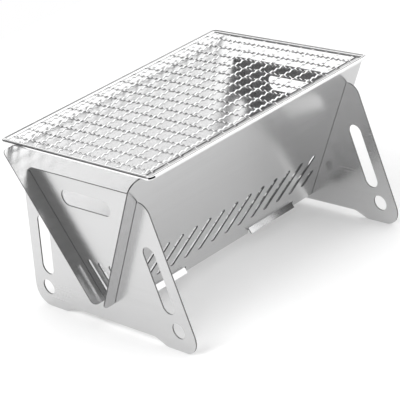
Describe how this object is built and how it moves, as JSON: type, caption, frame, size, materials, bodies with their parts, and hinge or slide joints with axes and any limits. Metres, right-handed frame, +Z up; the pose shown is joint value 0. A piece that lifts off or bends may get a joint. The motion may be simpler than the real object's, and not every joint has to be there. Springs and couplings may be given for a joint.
{
  "type": "folding camp oven",
  "caption": "Knock-down stainless camp oven: two slotted end plates hold two leaning vented panels in a V, with a framed woven wire grate resting on top.",
  "frame": {"origin": "Middle of the footprint at floor level: the four feet stand on Z = 0.", "axes": "+X along the fire trough towards the far end plate, +Y across it towards the far side panel, +Z up."},
  "size_m": [0.231, 0.173, 0.1353],
  "materials": {
    "stainless_sheet": "satin stainless sheet",
    "bright_wire": "bright drawn stainless wire"
  },
  "bodies": {
    "stand": {"near_end_plate": "stainless_sheet", "far_end_plate": "stainless_sheet"},
    "far_panel": {"far_side_panel": "stainless_sheet"},
    "near_panel": {"near_side_panel": "stainless_sheet"},
    "grate": {"grate_rim": "stainless_sheet", "cross_wire_01": "bright_wire", "cross_wire_02": "bright_wire", "cross_wire_03": "bright_wire", "cross_wire_04": "bright_wire", "cross_wire_05": "bright_wire", "cross_wire_06": "bright_wire", "cross_wire_07": "bright_wire", "cross_wire_08": "bright_wire", "cross_wire_09": "bright_wire", "cross_wire_10": "bright_wire", "cross_wire_11": "bright_wire", "cross_wire_12": "bright_wire", "cross_wire_13": "bright_wire", "cross_wire_14": "bright_wire", "cross_wire_15": "bright_wire", "cross_wire_16": "bright_wire", "long_wire_01": "bright_wire", "long_wire_02": "bright_wire", "long_wire_03": "bright_wire", "long_wire_04": "bright_wire", "long_wire_05": "bright_wire", "long_wire_06": "bright_wire", "long_wire_07": "bright_wire", "long_wire_08": "bright_wire", "long_wire_09": "bright_wire", "long_wire_10": "bright_wire", "long_wire_11": "bright_wire", "long_wire_12": "bright_wire"}
  },
  "joints": [
    {"name": "draw_far_panel", "type": "slide", "parent": "stand", "child": "far_panel", "axis": [0, 0.5, 0.866], "range_m": [0, 0.125]},
    {"name": "draw_near_panel", "type": "slide", "parent": "stand", "child": "near_panel", "axis": [0, -0.5, 0.866], "range_m": [0, 0.125]},
    {"name": "lift_grate", "type": "slide", "parent": "far_panel", "child": "grate", "axis": [0, 0, 1], "range_m": [0, 0.12]}
  ],
  "couplings": [
    {"joint": "draw_near_panel", "follows": "draw_far_panel", "ratio": 1}
  ]
}
